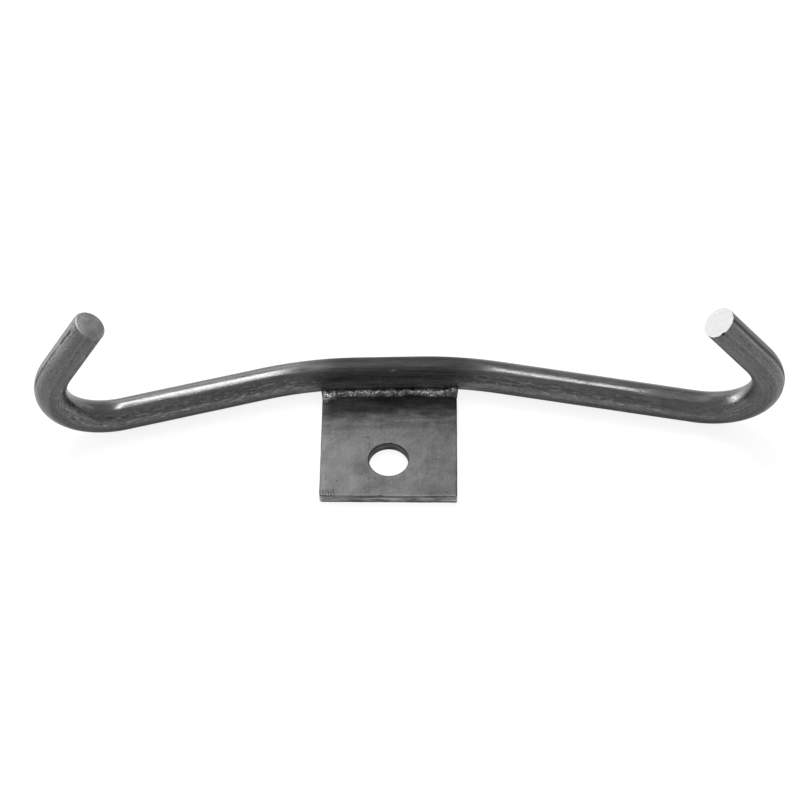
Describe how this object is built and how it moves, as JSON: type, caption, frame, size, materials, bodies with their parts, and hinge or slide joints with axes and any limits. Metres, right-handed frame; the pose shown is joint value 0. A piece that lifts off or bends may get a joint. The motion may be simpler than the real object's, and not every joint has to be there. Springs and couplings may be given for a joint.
{
  "type": "frame grip",
  "caption": "Round steel bar with an inward-leaning hook at each end, welded along the edge of a flat tab with a bolt hole.",
  "frame": {"origin": "centre of the bolt hole on the tab's back face", "axes": "+X along the bar's centre section, +Y from the bolt hole towards the bar, +Z out of the tab's front face, the way the hooks rise"},
  "size_m": [0.2701, 0.0617, 0.0704],
  "materials": {
    "bar_steel": "bare hot-rolled bar, dark mill scale with drawn streaks, semi-gloss",
    "tab_steel": "bare flat bar, dark grey mill scale, satin",
    "weld_metal": "rippled arc weld metal, dull grey with brighter ripple tops"
  },
  "bodies": {
    "root": {"hook_bar": "bar_steel", "mounting_tab": "tab_steel", "face_weld_bead": "weld_metal", "root_weld_bead": "weld_metal"}
  },
  "joints": []
}
